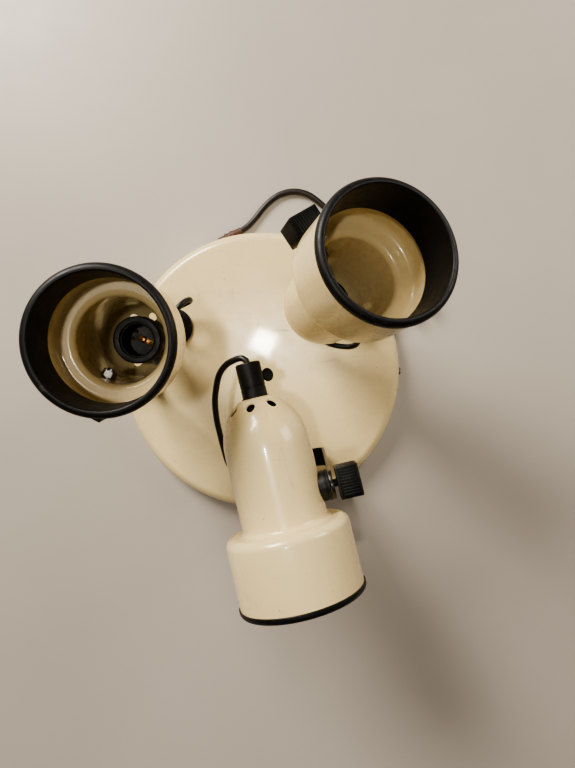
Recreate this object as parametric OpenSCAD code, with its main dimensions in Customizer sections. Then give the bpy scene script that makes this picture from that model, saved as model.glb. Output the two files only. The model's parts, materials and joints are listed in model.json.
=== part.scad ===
// Three-spot ceiling light: a round enamelled canopy that carries three swivelling
// spot heads on strap arms, each head with an E27 lampholder inside its shade.
// Millimetres. The origin is the centre of the canopy's back face, and +Z points
// away from the ceiling, so the light lies on its back with its heads upwards.

/* [Canopy] */
// Outer diameter of the canopy
canopy_d = 280; // [276:1:290]
// Depth of the canopy, from its back edge to its flat face
canopy_h = 24; // [22:0.5:28]
// Outside radius where the face turns into the wall
canopy_edge_r = 9; // [6:0.5:10]
// Thickness of the canopy's sheet steel
canopy_wall = 1.2; // [1:0.1:2]

/* [Pivots] */
// Radius of the circle that the three arm pivots lie on
pivot_r = 98; // [94:0.5:102]
// Direction of the first pivot, in degrees from +X
first_pivot = 153; // [150:1:156]
// How far each arm is swivelled from straight out, in degrees
arm_turn = [-1.2, 10.8, 0.5]; // [-20:0.1:20]
// How far each head leans out from straight up, in degrees
head_tilt = [-3.6, 84.6, 21.2]; // [-10:0.1:90]
// Outer radius of the threaded stem that an arm turns on
stem_r = 5; // [4.5:0.1:5.5]
// Bore radius of the stem, where the head's flex goes through
stem_bore_r = 3.4; // [3.1:0.1:3.6]

/* [Arm] */
// Width of the steel strap
strap_w = 18; // [17:1:24]
// Thickness of the steel strap
strap_t = 2.5; // [2:0.1:3]
// Height of the strap's underside above the canopy face
strap_lift = 5; // [4.5:0.5:8]
// Distance from the pivot to the head's axis, along the strap
head_offset = 18; // [17:0.5:20]
// Height of the tilt hinge above the ceiling
hinge_h = 160; // [155:1:170]
// Radius of the hinge bolt
bolt_r = 3; // [2.5:0.1:3.5]

/* [Head] */
// Distance from the tilt hinge to the mouth of the head
head_front = 82.5; // [80:0.5:86]
// Length of the shade, from its mouth to the cord grip
head_len = 161.6; // [160:0.2:166]
// Outer radius of the black ring at the mouth
ring_r = 50.6; // [50.3:0.1:51]
// Outer radius of the wide front part of the shade
shade_r = 49.4; // [49.2:0.1:49.4]
// Outer radius of the narrow body of the shade
body_r = 34; // [33:0.2:35]
// Length of the wide front part, from the mouth to its shoulder
shade_front_len = 59.5; // [56:0.5:60]
// Thickness of the shade's sheet metal
shade_wall = 1.2; // [1:0.1:1.4]
// Depth of the anti-glare cone inside the mouth
baffle_depth = 35.5; // [30:0.5:37]
// Inner radius of the anti-glare cone at its deep edge
baffle_r = 43.8; // [42:0.2:44]
// Length of the cord grip behind the shade
grip_len = 28.6; // [27:0.2:31]
// Radius of the cord grip
grip_r = 10; // [9.5:0.1:10.5]

/* [Lampholder] */
// Distance from the mouth of the head to the mouth of the lampholder
holder_depth = 117.5; // [115:0.5:117.5]
// Outer radius of the lampholder's skirt
holder_r = 20; // [19:0.5:21]
// Inner radius of the threaded shell, which takes an E27 cap
thread_r = 13.15; // [13.1:0.05:13.2]
// Length of the threaded shell
thread_len = 21; // [20:0.5:22]

/* [Leads] */
// Diameter of the supply lead
lead_d = 6; // [5.5:0.1:6.5]
// Diameter of the flex to each head
flex_d = 5.4; // [5:0.1:5.6]

/* [Hidden] */
ROOT_NODES = ["base_dish", "mounting_bar", "bar_side_screws", "pan_stems", "stem_back_nuts",
    "stem_top_nuts", "stem_bushes", "terminal_block", "terminal_screws", "earth_tag",
    "cord_clamp", "inner_wiring", "lead_sleeve", "supply_lead", "supply_coil",
    "supply_plug", "plug_pins"];
SPOT_NODES = ["foot_disc", "arm_strap", "head_flex", "shade", "baffle_ring", "lampholder",
    "thread_shell", "contact_tongue", "holder_nipple", "cord_grip", "hinge_bolt",
    "hinge_boss", "clamp_knob", "thumbscrew"];
$fn = 96;

running = 0.05;    // radial clearance of a running fit
gap = 0.3;         // clearance between parts that move past each other

canopy_r = canopy_d / 2;
face_z = canopy_h;
inner_face_z = canopy_h - canopy_wall;
strap_z = face_z + strap_lift;
strap_top_z = strap_z + strap_t;
nut_z = strap_top_z + gap;
stem_top_z = nut_z + 6.5;

// Heights along the head's own axis, from the tilt hinge
mouth_z = head_front;
shoulder_z = mouth_z - shade_front_len;
rear_z = mouth_z - head_len;
grip_end_z = rear_z - grip_len;
holder_z = mouth_z - holder_depth;
thread_top_z = holder_z - 3.5;
screw_z = rear_z - 0.59 * grip_len;
screw_turn = -40;   // the thumbscrew points away from the tilt axis by this angle

// Distances along the tilt axis, from the head's own axis
boss_end = 41.2;
strap_in = boss_end + gap;
strap_out = strap_in + strap_t;
knob_in = strap_out + gap;
knob_len = 20.6;
knob_w = 25;
eye_r = 12.5;        // radius of the strap's round ends, and of the boss beside them

// The supply lead leaves through a notch in the canopy's edge. Points are [x, y, z].
lead_route = [[-54, 95, 12], [-57.5, 102.5, 12], [-58, 111.5, 11], [-56, 120, 8.5],
    [-50.5, 127.5, 6.5], [-44, 132.4, 5], [-33, 138, 5], [-22, 143.6, 5], [-14.5, 149, 4],
    [-7, 157, 3], [1, 167, 3], [9, 175, 3], [18, 181, 3], [28, 184, 3], [38, 184, 3],
    [48, 181, 3], [57, 175, 3], [65, 168, 3], [72, 160, 3], [77.5, 151, 3], [81, 141, 3],
    [82.5, 131, 3], [86, 121.5, 3], [92, 113.5, 3], [99, 107, 3], [106, 101, 3]];
coil_at = [137, 132];      // centre of the two-layer coil on the floor
coil_r = [24, 47];         // its inner and outer radius

// The lead's last stretch crosses the coil, up to the plug that lies on it
tail_route = [[157.5, 167.5, 9.2], [149, 170.6, 12.2], [140, 170.6, 14.6], [131.5, 167.5, 15.8],
    [124.6, 161.7, 16.4], [120.1, 153.9, 17.2], [118.5, 145, 18], [119.8, 137, 18.7],
    [122, 132, 19.2], [124, 128.5, 19.2]];

// Each head's flex, from the cord grip to the stem. Points are [out, along, up]
// from the arm's pivot: out from the canopy, along the strap, up from the ceiling.
flex_route = [
    [[6.7, 18, 53], [7, 17.5, 48], [7.7, 15, 43.2], [8.6, 11.2, 40.2], [9.4, 6, 39.3],
        [9.8, 0, 39.2], [8.8, -7, 39.5], [6, -14, 40], [1.5, -21, 41.5], [-3.5, -27, 44.5],
        [-7, -31, 49.5], [-7, -32, 56], [-5, -28, 62], [-3, -20, 65.5], [-1, -11, 64],
        [0, -4, 58], [0, -1, 51], [0, 0, 44], [0, 0, 36], [0, 0, 26]],
    [[-106.4, 18, 149.9], [-109.6, 17.5, 149.3], [-112, 15, 148], [-112.6, 11.4, 146.3],
        [-112, 6.4, 143.6], [-110.1, -0.1, 139], [-104.2, -8, 132], [-94.2, -14.3, 124.5],
        [-81.8, -19.8, 116.5], [-67.6, -23.2, 108.5], [-53.4, -25, 100.5],
        [-37.7, -26.2, 92.5], [-22, -26.5, 84.5], [-10.5, -23, 75], [-4, -16, 66.5],
        [-1, -8, 59.5], [0, -2.5, 52.5], [0, 0, 45], [0, 0, 37], [0, 0, 26]],
    [[-38.6, 18, 60.4], [-39.9, 17.3, 55.5], [-40, 13.8, 50], [-38.6, 9, 46], [-36, 3, 44], [-31, -6, 43],
        [-25, -15, 43], [-18, -22, 44], [-11, -27, 46], [-5, -28, 51], [-1, -24, 57],
        [0, -16, 60], [0, -8, 58], [0, -2, 51], [0, 0, 44], [0, 0, 36], [0, 0, 26]]];

// Wires from the three stems and the lead to the terminal block, under the face
wire_route = [
    [[-87, 44, 14], [-80, 40, 9], [-68, 34, 8], [-54, 29, 8], [-40, 25, 8], [-27, 22, 9],
        [-16, 17, 12], [-11.5, 12, 13.8], [-10.5, 10.2, 14], [-10.5, 8.4, 14]],
    [[5, -98, 14], [4, -88, 9], [2, -72, 8], [1, -54, 8], [0, -36, 8], [0, -20, 11],
        [0, -12, 13.8], [0, -10.2, 14], [0, -8.4, 14]],
    [[82, 53, 14], [74, 47, 9], [60, 38, 8], [44, 30, 8], [30, 24, 8], [18, 18, 11],
        [11.5, 12, 13.8], [10.5, 10.2, 14], [10.5, 8.4, 14]],
    [[-54, 95, 12], [-50, 84, 10], [-42, 68, 8], [-32, 52, 8], [-19, 37, 8], [-7, 25, 10],
        [-1, 16, 13], [0, 12, 13.8], [0, 10.2, 14], [0, 8.4, 14]]];
function arc(x, y, r, from, to, steps = 8) =
    [for (s = [0:steps]) let (a = from + (to - from) * s / steps)
        [x + r * cos(a), y + r * sin(a)]];

function unit(v) = v / norm(v);

// Direction of a route at point i
function heading(route, i) =
    unit(route[min(i + 1, len(route) - 1)] - route[max(i - 1, 0)]);

// A side vector carried along the route, so that the tube does not twist
function side(route, i) = let (
        t = heading(route, i),
        before = i == 0 ? (abs(t[2]) < 0.8 ? [0, 0, 1] : [0, 1, 0]) : side(route, i - 1))
    unit(before - (before * t) * t);

// Tube of diameter d swept along a route, one ring at each point
module tube(route, d, sides = 10) {
    n = len(route);
    points = [for (i = [0:n - 1]) let (t = heading(route, i), u = side(route, i), v = cross(t, u))
        for (k = [0:sides - 1]) route[i] + d / 2 * (cos(360 * k / sides) * u
            + sin(360 * k / sides) * v)];
    walls = [for (i = [0:n - 2], k = [0:sides - 1]) let (m = (k + 1) % sides)
        each [[i * sides + k, (i + 1) * sides + k, (i + 1) * sides + m],
            [i * sides + k, (i + 1) * sides + m, i * sides + m]]];
    first = [for (k = [0:sides - 1]) k];
    last = [for (k = [sides - 1:-1:0]) (n - 1) * sides + k];
    polyhedron(points, concat([first], walls, [last]), convexity = 6);
}

module at_arm(i) {
    rotate([0, 0, first_pivot + 120 * (i - 1)])
        translate([pivot_r, 0, 0])
            rotate([0, 0, arm_turn[i - 1]]) children();
}

module at_head(i) {
    at_arm(i) translate([0, head_offset, hinge_h])
        rotate([0, head_tilt[i - 1], 0]) children();
}

module at_pivots() {
    for (i = [0:2]) rotate([0, 0, first_pivot + 120 * i]) translate([pivot_r, 0, 0]) children();
}

module ring(outer, inner, low, high) {
    translate([0, 0, low]) difference() {
        cylinder(r = outer, h = high - low);
        translate([0, 0, -1]) cylinder(r = inner, h = high - low + 2);
    }
}

module hex_nut(flats, bore, low, high) {
    translate([0, 0, low]) difference() {
        cylinder(r = flats / sqrt(3), h = high - low, $fn = 6);
        translate([0, 0, -1]) cylinder(r = bore, h = high - low + 2);
    }
}

// Straight hole along the tilt axis (+Y of the head)
module along_y(r, from, to) {
    translate([0, from, 0]) rotate([-90, 0, 0]) cylinder(r = r, h = to - from);
}

// ---- Canopy and what is fixed to it ----

// Pressed dish with a rounded edge and a hemmed back edge, open at the back
module base_dish() {
    e = canopy_edge_r;
    w = canopy_wall;
    color("antiquewhite") difference() {
        rotate_extrude($fn = 180) polygon(concat(
            [[0, face_z]],
            arc(canopy_r - e, face_z - e, e, 90, 0),
            [[canopy_r, 0], [canopy_r - 2.6, 0], [canopy_r - 2.6, 3], [canopy_r - w, 3.6]],
            arc(canopy_r - e, face_z - e, e - w, 0, 90),
            [[0, inner_face_z]]));
        at_pivots() translate([0, 0, inner_face_z - 1]) cylinder(r = stem_r + running, h = 4);
        // notch for the lead and its sleeve, which cross the wall at a slant
        translate([-33, 138, 0]) rotate([0, 0, 27]) translate([-20, -5.2, -1])
            cube([32, 10.4, 11.4]);
        translate([-48.5, 128.5, 0]) rotate([0, 0, 41]) translate([-10, -4.6, -1])
            cube([20, 9.2, 11.9]);
        // holes for the two side screws
        for (a = [0, 180]) rotate([0, 0, a]) translate([canopy_r - 6, 0, 10])
            rotate([0, 90, 0]) cylinder(r = 2.1, h = 8);
    }
}

bar_len = 264;
slot_span = 120;     // distance between the two ceiling screws

// Steel strip that is screwed to the ceiling; its turned-up ends hold the canopy
module mounting_bar() {
    color("silver") difference() {
        union() {
            translate([-bar_len / 2, -12, 0]) cube([bar_len, 24, 2]);
            for (s = [-1, 1]) translate([s * (bar_len / 2 - 1) - 1, -12, 0]) cube([2, 24, 17]);
            translate([-11, -11, 2]) cube([22, 22, 6]);
        }
        for (s = [-1, 1]) translate([s * slot_span / 2, 0, -1]) {
            for (e = [-1, 1]) translate([e * 4.5, 0, 0]) cylinder(r = 2.5, h = 4);
            translate([-4.5, -2.5, 0]) cube([9, 5, 4]);
        }
        for (s = [-1, 1]) translate([s * 100, 0, -1]) cylinder(r = 3.2, h = 4);
        for (a = [0, 180]) rotate([0, 0, a]) translate([bar_len / 2 - 4, 0, 10])
            rotate([0, 90, 0]) cylinder(r = 1.95, h = 8);
        translate([28, -6, -1]) cylinder(r = 2, h = 4);
    }
}

// Two pan-head screws through the canopy's wall into the bar's ends
module bar_side_screws() {
    color("gainsboro") for (a = [0, 180]) rotate([0, 0, a]) translate([0, 0, 10])
        rotate([0, 90, 0]) difference() {
            union() {
                translate([0, 0, bar_len / 2 - 6]) cylinder(r = 1.9, h = 14.2);
                translate([0, 0, canopy_r + 0.1]) cylinder(r = 3.8, h = 1.8);
                translate([0, 0, canopy_r + 1.9]) cylinder(r1 = 3.8, r2 = 2.6, h = 0.8);
            }
            translate([-3.5, -0.5, canopy_r + 1.7]) cube([7, 1, 2]);
        }
}

// Three hollow threaded stems that the arms turn on
module pan_stems() {
    color("silver") at_pivots() difference() {
        union() {
            translate([0, 0, 14]) cylinder(r = stem_r, h = stem_top_z - 14.6);
            translate([0, 0, stem_top_z - 0.6]) cylinder(r1 = stem_r, r2 = stem_r - 0.6, h = 0.6);
        }
        translate([0, 0, 13]) cylinder(r = stem_bore_r, h = stem_top_z - 12);
    }
}

// Nut and toothed washer behind the face, on each stem
module stem_back_nuts() {
    color("silver") at_pivots() {
        ring(9, stem_r + running, inner_face_z - 1, inner_face_z);
        hex_nut(14, stem_r + running, inner_face_z - 5.5, inner_face_z - 1);
    }
}

// Thin nut and spring washer above the strap, on each stem
module stem_top_nuts() {
    color("dimgray") at_pivots() {
        ring(8, stem_r + running, nut_z, nut_z + 1);
        hex_nut(14, stem_r + running, nut_z + 1, nut_z + 4.5);
    }
}

// Plastic mouthpiece on each stem, so that the flex is not cut
module stem_bushes() {
    color("black") at_pivots() rotate_extrude($fn = 64) polygon(concat(
        [[3.1, stem_top_z - 4], [3.3, stem_top_z - 4], [3.3, stem_top_z],
            [5.2, stem_top_z], [5.2, stem_top_z + 1.2]],
        arc(4.2, stem_top_z + 1.2, 1, 0, 180, 6),
        [[3.1, stem_top_z + 1]]));
}

// Three-pole terminal block on the bar's raised pad
module terminal_block() {
    color("ivory") translate([0, 0, 8]) difference() {
        union() {
            translate([-16, -9, 0]) cube([32, 18, 5]);
            for (p = [-1:1]) translate([p * 10.5 - 4.5, -9, 5]) cube([9, 18, 6]);
        }
        for (p = [-1:1]) {
            translate([p * 10.5, -10, 6]) rotate([-90, 0, 0]) cylinder(r = 2.2, h = 20);
            for (s = [-1, 1]) translate([p * 10.5, s * 5, 6]) cylinder(r = 1.9, h = 6);
        }
    }
}

// Two brass clamping screws on each pole
module terminal_screws() {
    color("goldenrod") for (p = [-1:1], s = [-1, 1])
        translate([p * 10.5, s * 5, 14.6]) difference() {
            cylinder(r = 1.8, h = 4);
            translate([-2, -0.35, 3.2]) cube([4, 0.7, 1]);
        }
}

// Earth tag and its screw on the mounting bar
module earth_tag() {
    color("gold") translate([28, -6, 2]) {
        difference() {
            union() {
                cylinder(r = 4.5, h = 0.8);
                translate([0, -1.6, 0]) cube([13, 3.2, 0.8]);
            }
            translate([0, 0, -1]) cylinder(r = 2, h = 3);
        }
        translate([0, 0, -1.6]) cylinder(r = 1.95, h = 2.4);
        translate([0, 0, 0.8]) cylinder(r = 3.6, h = 2);
    }
}

// Saddle and two screws that hold the supply lead inside the canopy
module cord_clamp() {
    color("whitesmoke") translate([-57.5, 102.5, inner_face_z]) rotate([0, 0, 12]) {
        difference() {
            translate([-11, -4, -18]) cube([22, 8, 18]);
            translate([-4, -5, -14.5]) cube([8, 10, 7.4]);
        }
        for (s = [-1, 1]) translate([s * 7.5, 0, -19.5]) cylinder(r = 2.4, h = 1.5);
    }
}

// Insulated wires under the face, from the stems and the lead to the terminals
module inner_wiring() {
    color("saddlebrown") for (route = wire_route) tube(route, 4, 8);
}

// Brown rubber sleeve that guards the lead in the canopy's notch
module lead_sleeve() {
    color("saddlebrown") translate([-33, 138, 5]) rotate([0, 0, 27]) rotate([0, 90, 0])
        rotate_extrude($fn = 48) polygon(concat(
            [[3.2, -12], [3.9, -12], [4.1, -6]],
            arc(4.1, 0, 0.8, -60, 60, 4),
            [[3.9, 8], [3.4, 14], [3.2, 14]]));
}

// Supply lead from inside the canopy to its coil, and from the coil to its plug
module supply_lead() {
    color("#2b2422") {
        tube(lead_route, lead_d, 12);
        tube(tail_route, lead_d, 12);
    }
}

// Outer shape of the coil that the rest of the lead is wound into
module supply_coil() {
    high = 2 * lead_d + 0.4;
    color("#2b2422") translate([coil_at[0], coil_at[1], 0]) rotate_extrude($fn = 72)
        polygon(concat(
            arc(coil_r[1] - 2, 2, 2, -90, 0, 4),
            arc(coil_r[1] - 2, high - 2, 2, 0, 90, 4),
            arc(coil_r[0] + 2, high - 2, 2, 90, 180, 4),
            arc(coil_r[0] + 2, 2, 2, 180, 270, 4)));
}

plug_at = [141, 99.1, 19.2];
plug_heading = -60;
pin_gap = 19;        // distance between the two pins
pin_r = 2.4;
pin_len = 18.5;

// Flat two-pin plug with its strain relief, which lies on the coil
module supply_plug() {
    color("#2b2422") translate(plug_at) rotate([0, 0, plug_heading]) {
        hull() for (s = [-1, 1], x = [-14, 16]) translate([x, s * (x > 0 ? 13 : 7), 0])
            cylinder(r = 4, h = 13, center = true, $fn = 32);
        translate([-38, 0, 0]) rotate([0, 90, 0]) cylinder(r1 = 3.7, r2 = 5.8, h = 21);
    }
}

// Two round pins
module plug_pins() {
    color("silver") translate(plug_at) rotate([0, 0, plug_heading])
        for (s = [-1, 1]) translate([20, s * pin_gap / 2, 0]) rotate([0, 90, 0]) {
            cylinder(r = pin_r, h = pin_len - 1.5);
            translate([0, 0, pin_len - 1.5]) cylinder(r1 = pin_r, r2 = 1.4, h = 1.5);
        }
}

// ---- Arm ----

// Black disc that the arm turns on, between the canopy and the strap
module foot_disc(i) {
    low = face_z + gap;
    color("#202020") at_arm(i) rotate_extrude() polygon([
        [stem_r + running, low], [19, low], [19, low + 1.6], [17.6, low + 2.6],
        [12, low + 3], [11, strap_z], [stem_r + running, strap_z]]);
}

// Bent steel strap: a foot on the pivot and an upright to the tilt hinge
module arm_strap(i) {
    bend = 14;
    upright_y = head_offset + strap_in;
    color("#202020") at_arm(i) difference() {
        union() {
            translate([0, 0, strap_z]) cylinder(r = eye_r, h = strap_t);
            translate([-strap_w / 2, 0, 0]) rotate([90, 0, 90]) linear_extrude(strap_w)
                polygon(concat(
                    [[0, strap_z]],
                    arc(upright_y + strap_t - bend, strap_z + bend, bend, -90, 0),
                    [[upright_y + strap_t, hinge_h], [upright_y, hinge_h]],
                    arc(upright_y + strap_t - bend, strap_z + bend, bend - strap_t, 0, -90),
                    [[0, strap_top_z]]));
            translate([0, upright_y, hinge_h]) rotate([-90, 0, 0])
                cylinder(r = eye_r, h = strap_t);
        }
        translate([0, 0, strap_z - 1]) cylinder(r = stem_r + running, h = strap_t + 2);
        translate([0, upright_y - 1, hinge_h]) rotate([-90, 0, 0])
            cylinder(r = bolt_r + running, h = strap_t + 2);
    }
}

// Flex that hangs in a loop between the cord grip and the stem
module head_flex(i) {
    color("#1c1c1c") at_arm(i) tube(flex_route[i - 1], flex_d, 10);
}

// ---- Head ----

// Outer line of the shade, drawn in by w: front tube, shoulder, body and domed rear
function shade_line(w) = concat(
    [[shade_r - w, mouth_z - 4.6]],
    arc(shade_r - 7, shoulder_z + 7, 7 - w, 0, -90, 6),
    arc(body_r + 4, shoulder_z - 4, 4 + w, 90, 180, 5),
    [for (s = [0:10]) let (a = 67 * s / 10)
        [(body_r - w) * cos(a), rear_z + 39 - (42.4 - w) * sin(a)]]);

module shade(i) {
    inner = shade_line(shade_wall);
    color("antiquewhite") at_head(i) difference() {
        rotate_extrude($fn = 120) polygon(concat(
            shade_line(0),
            [[5.05, rear_z], [5.05, rear_z + shade_wall]],
            [for (k = [len(inner) - 1:-1:0]) inner[k]]));
        // eight ventilation holes in the domed rear
        for (k = [0:7]) rotate([0, 0, 9.5 + 45 * k]) translate([21.4, 0, rear_z - 2])
            cylinder(r = 3.5, h = 14, $fn = 32);
        along_y(bolt_r + running, body_r - 8, body_r + 2);
    }
}

// Black ring over the mouth, with a cone that hides the lamp from the side
module baffle_ring(i) {
    color("#181818") at_head(i) rotate_extrude($fn = 120) polygon(concat(
        [[shade_r + 0.02, mouth_z - 5.8], [ring_r, mouth_z - 5.8]],
        arc(ring_r - 4.2, mouth_z - 4.2, 4.2, 0, 90, 8),
        arc(ring_r - 4.4, mouth_z - 1.2, 1.2, 90, 180, 4),
        [[baffle_r, mouth_z - baffle_depth], [baffle_r + 1, mouth_z - baffle_depth],
            [ring_r - 4.2, mouth_z - 9], [shade_r - shade_wall - 0.1, mouth_z - 7],
            [shade_r - shade_wall - 0.1, mouth_z - 4.6], [shade_r + 0.02, mouth_z - 4.6]]));
}

// Black moulded lampholder, open at the front
module lampholder(i) {
    floor_z = thread_top_z - thread_len - 5;
    boss_z = rear_z + shade_wall;
    color("#202020") at_head(i) rotate_extrude() polygon([
        [14.6, holder_z], [holder_r - 0.8, holder_z], [holder_r, holder_z - 0.8],
        [holder_r, holder_z - 23], [holder_r - 2.5, holder_z - 25],
        [16.5, holder_z - 36], [13, holder_z - 40], [8, holder_z - 42], [8, boss_z],
        [5.05, boss_z], [5.05, floor_z - 3], [0, floor_z - 3], [0, floor_z],
        [thread_r + 0.75, floor_z], [thread_r + 0.75, thread_top_z], [14.6, thread_top_z]]);
}

// Rolled metal shell that takes the lamp's screw cap
module thread_shell(i) {
    color("goldenrod") at_head(i)
        ring(thread_r + 0.7, thread_r, thread_top_z - thread_len, thread_top_z);
}

// Sprung centre contact on the lampholder's floor
module contact_tongue(i) {
    z = thread_top_z - thread_len - 5;
    color("gold") at_head(i) translate([0, 0, z]) {
        translate([-9, -2.5, 0]) cube([14, 5, 0.8]);
        translate([0, 0, 0.8]) cylinder(r1 = 3.2, r2 = 2, h = 2.2, $fn = 32);
    }
}

// Hollow threaded nipple that joins lampholder, shade and cord grip
module holder_nipple(i) {
    color("silver") at_head(i) ring(5, 3.2, rear_z - 9, rear_z + 9);
}

// Black cord grip behind the shade, with a tapped hole for its thumbscrew
module cord_grip(i) {
    color("#181818") at_head(i) difference() {
        rotate_extrude($fn = 72) polygon([
            [5.05, rear_z - 0.02], [grip_r + 1, rear_z - 0.02], [grip_r + 1, rear_z - 1.1],
            [grip_r, rear_z - 1.5], [grip_r, grip_end_z + 0.8], [grip_r - 0.8, grip_end_z],
            [3.1, grip_end_z], [3.1, rear_z - 9.2], [5.05, rear_z - 9.2]]);
        translate([0, 0, screw_z]) rotate([0, 0, screw_turn]) along_y(2 + running, 0, grip_r + 2);
    }
}

// Bolt, nut and washers of the tilt hinge
module hinge_bolt(i) {
    color("silver") at_head(i) {
        rotate([-90, 0, 0]) hex_nut(10, bolt_r + 0.01, body_r - 7, body_r - 2.6);
        rotate([-90, 0, 0]) ring(6.5, bolt_r + 0.01, body_r - 2.6, body_r - 1.9);
        along_y(bolt_r, body_r - 8.5, strap_out + 16);
    }
}

// Black round boss between the shade and the strap
module hinge_boss(i) {
    color("#202020") at_head(i) difference() {
        along_y(eye_r, 20, boss_end);
        translate([0, 0, -20]) cylinder(r = body_r + 0.02, h = 40, $fn = 120);
        along_y(bolt_r + 0.01, 18, boss_end + 1);
    }
}

// Square black clamp knob with a round collar, on the end of the hinge bolt
module clamp_knob(i) {
    r = 1.2;
    half = knob_w / 2 - r;
    color("#202020") at_head(i) translate([0, knob_in, 0]) rotate([-90, 0, 0]) difference() {
        union() {
            cylinder(r = 12, h = 4);
            translate([0, 0, 3.4]) linear_extrude(knob_len - 3.4) {
                square([2 * half, knob_w], center = true);
                square([knob_w, 2 * half], center = true);
                for (x = [-half, half], y = [-half, half]) translate([x, y]) circle(r = r, $fn = 32);
            }
        }
        translate([0, 0, -1]) cylinder(r = bolt_r + running, h = 18);
    }
}

// Thumbscrew with a round flat paddle, which grips the flex
module thumbscrew(i) {
    color("#181818") at_head(i) translate([0, 0, screw_z]) rotate([0, 0, screw_turn]) {
        along_y(2, 3.1, grip_r + 3.2);
        along_y(3, grip_r + 0.4, grip_r + 1.2);
        translate([-1.1, grip_r + 6.9, 0]) rotate([0, 90, 0]) cylinder(r = 5.6, h = 2.2, $fn = 48);
    }
}

base_dish();
mounting_bar();
bar_side_screws();
pan_stems();
stem_back_nuts();
stem_top_nuts();
stem_bushes();
terminal_block();
terminal_screws();
earth_tag();
cord_clamp();
inner_wiring();
lead_sleeve();
supply_lead();
supply_coil();
supply_plug();
plug_pins();
for (i = [1:3]) {
    foot_disc(i);
    arm_strap(i);
    head_flex(i);
    shade(i);
    baffle_ring(i);
    lampholder(i);
    thread_shell(i);
    contact_tongue(i);
    holder_nipple(i);
    cord_grip(i);
    hinge_bolt(i);
    hinge_boss(i);
    clamp_knob(i);
    thumbscrew(i);
}
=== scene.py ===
# Three-spot ceiling light, lying on its back on a floor: an enamelled canopy with three
# swivelling spot heads on strap arms. Metres throughout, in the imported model's own frame.
import json
import math

import bpy
from mathutils import Matrix, Vector


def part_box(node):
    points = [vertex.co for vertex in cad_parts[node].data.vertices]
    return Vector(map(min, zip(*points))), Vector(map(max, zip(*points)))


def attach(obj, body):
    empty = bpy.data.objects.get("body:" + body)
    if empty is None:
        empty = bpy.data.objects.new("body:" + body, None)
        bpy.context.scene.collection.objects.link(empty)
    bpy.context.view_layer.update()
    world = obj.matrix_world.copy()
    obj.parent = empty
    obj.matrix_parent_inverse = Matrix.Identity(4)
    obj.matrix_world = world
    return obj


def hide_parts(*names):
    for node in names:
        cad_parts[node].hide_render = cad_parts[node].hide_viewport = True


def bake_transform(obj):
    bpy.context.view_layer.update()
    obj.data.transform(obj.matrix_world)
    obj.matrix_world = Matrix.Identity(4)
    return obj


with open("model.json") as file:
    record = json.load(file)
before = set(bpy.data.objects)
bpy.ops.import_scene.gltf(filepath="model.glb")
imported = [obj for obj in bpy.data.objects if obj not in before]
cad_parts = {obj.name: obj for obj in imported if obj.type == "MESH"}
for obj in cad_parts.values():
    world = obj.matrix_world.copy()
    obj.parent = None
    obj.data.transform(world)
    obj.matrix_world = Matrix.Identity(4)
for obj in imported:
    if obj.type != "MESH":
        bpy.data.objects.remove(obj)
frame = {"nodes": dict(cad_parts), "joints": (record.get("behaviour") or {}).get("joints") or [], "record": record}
bpy.ops.object.select_all(action="DESELECT")
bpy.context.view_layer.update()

# ---- Camera ----
# It hangs 0.62 m over the middle of the light and looks almost straight down on it, so that
# two heads show their mouths and the third shows its side.

camera_data = bpy.data.cameras.new("overhead_camera")
camera_data.sensor_fit = "AUTO"
camera_data.sensor_width = 36
camera_data.lens = 27.66
camera = bpy.data.objects.new("overhead_camera", camera_data)
camera.location = (0.0372, 0.0191, 0.6185)
camera.rotation_euler = (math.radians(-3.05), math.radians(1.0), 0)
bpy.context.scene.collection.objects.link(camera)
bpy.context.scene.camera = camera

# ---- Supply lead ----
# A round 6 mm mains lead with a dark brown PVC sheath. It leaves the canopy through a notch
# in its edge, runs over the floor and is wound into a small two-layer coil for storage.

mm = 0.001

def add_node(tree, kind, inputs=None, **settings):
    """Adds a shader node with its settings, and the values or links of its inputs."""
    made = tree.nodes.new(kind)
    for name, value in settings.items():
        setattr(made, name, value)
    for name, value in (inputs or {}).items():
        if isinstance(value, bpy.types.NodeSocket):
            tree.links.new(value, made.inputs[name])
        else:
            made.inputs[name].default_value = value
    return made


def new_group(name, inputs, outputs):
    """Starts a shader group with named sockets, and returns it with its input and output nodes."""
    group = bpy.data.node_groups.new(name, "ShaderNodeTree")
    for socket, value in inputs.items():
        kind = "NodeSocketColor" if isinstance(value, tuple) else "NodeSocketFloat"
        group.interface.new_socket(socket, in_out="INPUT", socket_type=kind).default_value = value
    for socket, kind in outputs.items():
        group.interface.new_socket(socket, in_out="OUTPUT", socket_type=kind)
    return group, add_node(group, "NodeGroupInput"), add_node(group, "NodeGroupOutput")


def mixed(tree, factor, first, second, blend="MIX"):
    """Mixes two colours, and returns the socket that holds the result."""
    node = add_node(tree, "ShaderNodeMix", {0: factor, 6: first, 7: second},
                    data_type="RGBA", blend_type=blend)
    return node.outputs[2]


def maths(tree, operation, first, second, clamp=False):
    """One sum on two numbers, and returns the socket that holds the result."""
    return add_node(tree, "ShaderNodeMath", {0: first, 1: second},
                    operation=operation, use_clamp=clamp).outputs[0]


def ranged(tree, value, low, high, to_low=0.0, to_high=1.0):
    """Maps a value from one range to another, held within it."""
    return add_node(tree, "ShaderNodeMapRange", {
        "Value": value, "From Min": low, "From Max": high,
        "To Min": to_low, "To Max": to_high}).outputs[0]


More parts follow.
